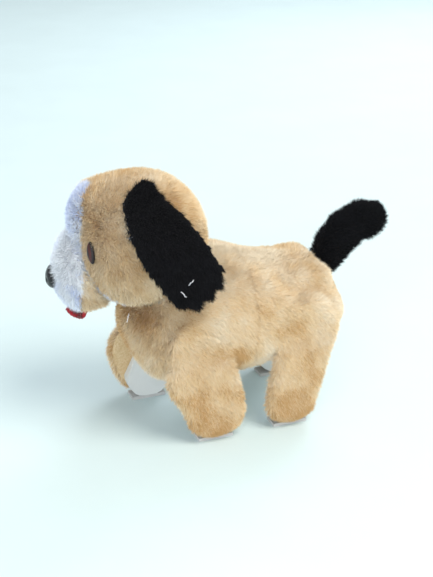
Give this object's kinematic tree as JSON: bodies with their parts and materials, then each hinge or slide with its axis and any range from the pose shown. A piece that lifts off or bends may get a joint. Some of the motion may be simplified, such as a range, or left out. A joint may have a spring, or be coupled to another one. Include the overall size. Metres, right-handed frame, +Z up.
{
  "type": "interactive plush pet",
  "caption": "Battery walking plush puppy: tan coat, white muzzle, black ears and tail, geared walking legs, turning head, wagging tail.",
  "frame": {"origin": "on the floor under the middle of the whole toy's box", "axes": "+Z up, the puppy faces -Y, its left side is +X; its own middle plane is at x = -3.1 mm"},
  "size_m": [0.0998, 0.2173, 0.1609],
  "materials": {
    "white_plastic": "satin moulded",
    "grey_plastic": "satin moulded",
    "black_plastic": "gloss moulded",
    "gear_plastic": "natural moulded",
    "steel": "plain",
    "cell_wrap": "shrink wrap",
    "tan_plush": "short-pile plush",
    "white_plush": "short-pile plush",
    "black_plush": "short-pile plush",
    "red_felt": "ribbed felt",
    "amber_eye": "clear gloss",
    "rubber": "matt"
  },
  "bodies": {
    "chassis": {"casing_left": "white_plastic", "casing_right": "white_plastic", "casing_screw_front": "steel", "casing_screw_rear": "steel", "casing_screw_top": "steel", "frame_plate_inner": "grey_plastic", "frame_plate_outer": "grey_plastic", "axle_pin_low": "steel", "axle_pin_high": "steel", "motor_can": "steel", "cell_left": "cell_wrap", "cell_right": "cell_wrap", "contact_front": "steel", "contact_rear": "steel", "switch_body": "black_plastic", "bark_box": "rubber", "neck_post": "grey_plastic", "neck_screw": "steel", "tail_pin": "steel", "body_coat": "tan_plush", "leg_pin_front_left": "steel", "leg_pin_front_right": "steel", "leg_pin_hind_left": "steel", "leg_pin_hind_right": "steel"},
    "motor_rotor": {"motor_pinion": "steel"},
    "first_gear": {"first_gear": "gear_plastic"},
    "second_gear": {"second_gear": "gear_plastic"},
    "crank": {"crankshaft": "steel", "crank_gear": "gear_plastic", "crank_disc_left": "gear_plastic", "crank_disc_right": "gear_plastic"},
    "drive_link_left": {"drive_link_left": "white_plastic"},
    "drive_link_right": {"drive_link_right": "white_plastic"},
    "head": {"head_shell": "white_plastic", "head_cover": "tan_plush", "muzzle_cover": "white_plush", "nose": "black_plastic", "tongue": "red_felt", "eye_left": "amber_eye", "eye_right": "amber_eye"},
    "ear_left": {"ear_left": "black_plush"},
    "ear_right": {"ear_right": "black_plush"},
    "tail": {"tail_lever": "grey_plastic", "tail_cover": "black_plush"},
    "switch_knob": {"switch_knob": "black_plastic"},
    "battery_door": {"battery_door": "white_plastic"},
    "leg_front_left": {"leg_front_left": "white_plastic", "foot_pad_front_left": "rubber", "leg_cover_front_left": "tan_plush"},
    "leg_front_right": {"leg_front_right": "white_plastic", "foot_pad_front_right": "rubber", "leg_cover_front_right": "tan_plush"},
    "leg_hind_left": {"leg_hind_left": "white_plastic", "foot_pad_hind_left": "rubber", "leg_cover_hind_left": "tan_plush"},
    "leg_hind_right": {"leg_hind_right": "white_plastic", "foot_pad_hind_right": "rubber", "leg_cover_hind_right": "tan_plush"}
  },
  "joints": [
    {"name": "leg_swing_front_left", "type": "hinge", "parent": "chassis", "child": "leg_front_left", "pos_m": [0.0279, -0.0322, 0.06], "axis": [1, 0, 0], "range_deg": [-21.5, 2.5]},
    {"name": "leg_swing_front_right", "type": "hinge", "parent": "chassis", "child": "leg_front_right", "pos_m": [-0.0341, -0.0322, 0.06], "axis": [1, 0, 0], "range_deg": [-2.5, 21.5]},
    {"name": "leg_swing_hind_left", "type": "hinge", "parent": "chassis", "child": "leg_hind_left", "pos_m": [0.0279, 0.0368, 0.06], "axis": [1, 0, 0], "range_deg": [-2.5, 21.5]},
    {"name": "leg_swing_hind_right", "type": "hinge", "parent": "chassis", "child": "leg_hind_right", "pos_m": [-0.0341, 0.0368, 0.06], "axis": [1, 0, 0], "range_deg": [-21.5, 2.5]},
    {"name": "drive_link_pivot_left", "type": "hinge", "parent": "leg_front_left", "child": "drive_link_left", "pos_m": [0.0221, -0.03088, 0.05211], "axis": [1, 0, 0], "range_deg": [-2.5, 21.5]},
    {"name": "drive_link_pivot_right", "type": "hinge", "parent": "leg_front_right", "child": "drive_link_right", "pos_m": [-0.0283, -0.03352, 0.05211], "axis": [1, 0, 0], "range_deg": [-21.5, 2.5]},
    {"name": "crank_spin", "type": "hinge", "parent": "chassis", "child": "crank", "pos_m": [-0.0031, -0.0322, 0.076], "axis": [1, 0, 0], "continuous": true},
    {"name": "second_gear_spin", "type": "hinge", "parent": "chassis", "child": "second_gear", "pos_m": [-0.0031, -0.01974, 0.07703], "axis": [1, 0, 0], "continuous": true},
    {"name": "first_gear_spin", "type": "hinge", "parent": "chassis", "child": "first_gear", "pos_m": [-0.0031, -0.02245, 0.06482], "axis": [1, 0, 0], "continuous": true},
    {"name": "motor_spin", "type": "hinge", "parent": "chassis", "child": "motor_rotor", "pos_m": [-0.0031, -0.0287, 0.054], "axis": [1, 0, 0], "continuous": true},
    {"name": "head_turn", "type": "hinge", "parent": "chassis", "child": "head", "pos_m": [-0.0031, -0.0407, 0.093], "axis": [0, -0.2756, 0.9613], "range_deg": [0, 32]},
    {"name": "ear_flap_left", "type": "hinge", "parent": "head", "child": "ear_left", "pos_m": [0.02335, -0.06292, 0.14993], "axis": [-0.265, -0.9642, 0.0103], "range_deg": [0, 25]},
    {"name": "ear_flap_right", "type": "hinge", "parent": "head", "child": "ear_right", "pos_m": [-0.02854, -0.04862, 0.15403], "axis": [0.265, 0.9642, -0.0103], "range_deg": [0, 25]},
    {"name": "tail_wag", "type": "hinge", "parent": "chassis", "child": "tail", "pos_m": [-0.0031, 0.0463, 0.0775], "axis": [0, 0, 1], "range_deg": [-18, 18]},
    {"name": "switch_slide", "type": "slide", "parent": "chassis", "child": "switch_knob", "axis": [0, 1, 0], "range_m": [0, 0.002]},
    {"name": "battery_door_lift_off", "type": "slide", "parent": "chassis", "child": "battery_door", "axis": [0, 0, -1], "range_m": [0, 0.015]}
  ],
  "couplings": [
    {"joint": "leg_swing_front_right", "follows": "leg_swing_front_left", "ratio": -1},
    {"joint": "leg_swing_hind_left", "follows": "leg_swing_front_left", "ratio": -1},
    {"joint": "leg_swing_hind_right", "follows": "leg_swing_front_left", "ratio": 1},
    {"joint": "drive_link_pivot_left", "follows": "leg_swing_front_left", "ratio": -1},
    {"joint": "drive_link_pivot_right", "follows": "leg_swing_front_left", "ratio": 1},
    {"joint": "first_gear_spin", "follows": "motor_spin", "ratio": -0.25},
    {"joint": "second_gear_spin", "follows": "motor_spin", "ratio": 0.0625},
    {"joint": "crank_spin", "follows": "motor_spin", "ratio": -0.015625}
  ]
}
